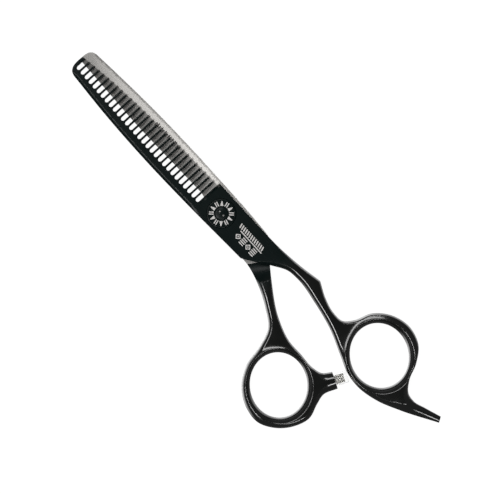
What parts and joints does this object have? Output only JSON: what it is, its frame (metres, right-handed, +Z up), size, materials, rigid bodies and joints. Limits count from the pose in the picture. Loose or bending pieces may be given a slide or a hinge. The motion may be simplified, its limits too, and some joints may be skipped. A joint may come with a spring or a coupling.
{
  "type": "thinning shears",
  "caption": "Black hair thinning shears with a comb blade over a plain blade, offset finger rings, a finger rest hook, a clear bumper and a flush pivot screw over a ball bearing.",
  "frame": {"origin": "on the pivot axis, in the plane the shears lie on, which is the back face of the pivot nut", "axes": "+Y along the closed blades from the pivot to the tips, +Z up through the comb half, +X towards the finger ring's side"},
  "size_m": [0.0578, 0.1669, 0.0056],
  "materials": {
    "black_coating": "glossy black coating on polished steel",
    "bare_steel": "ground and polished stainless steel",
    "cage_brass": "plain stamped brass",
    "white_polymer": "plain",
    "clear_silicone": "clear soft silicone",
    "clear_nylon": "cloudy clear moulded thread"
  },
  "bodies": {
    "finger_half": {"comb_blade": "black_coating", "pivot_bush": "white_polymer", "lower_race": "bare_steel"},
    "thumb_half": {"cutting_blade": "black_coating", "pivot_nut": "bare_steel", "blade_washer": "white_polymer"},
    "tension_screw": {"pivot_screw": "black_coating", "tension_disc": "black_coating", "spring_washer": "bare_steel", "upper_race": "bare_steel"},
    "cage": {"ball_cage": "cage_brass", "bearing_ball_1": "bare_steel", "bearing_ball_2": "bare_steel", "bearing_ball_3": "bare_steel", "bearing_ball_4": "bare_steel", "bearing_ball_5": "bare_steel", "bearing_ball_6": "bare_steel", "bearing_ball_7": "bare_steel", "bearing_ball_8": "bare_steel"},
    "bumper": {"bumper_stud": "clear_nylon", "bumper_cap": "clear_silicone"}
  },
  "joints": [
    {"name": "pivot", "type": "hinge", "parent": "finger_half", "child": "thumb_half", "pos_m": [0, 0, 0.0028], "axis": [0, 0, -1], "range_deg": [0, 90]},
    {"name": "tension", "type": "hinge", "parent": "thumb_half", "child": "tension_screw", "pos_m": [0, 0, 0.0056], "axis": [0, 0, 1], "range_deg": [-90, 90]},
    {"name": "cage_turn", "type": "hinge", "parent": "finger_half", "child": "cage", "pos_m": [0, 0, 0.00426], "axis": [0, 0, -1], "range_deg": [0, 45]},
    {"name": "bumper_adjust", "type": "slide", "parent": "thumb_half", "child": "bumper", "axis": [0.9113, -0.4118, 0], "range_m": [-0.0007, 0]}
  ],
  "couplings": [
    {"joint": "cage_turn", "follows": "pivot", "ratio": 0.5}
  ]
}
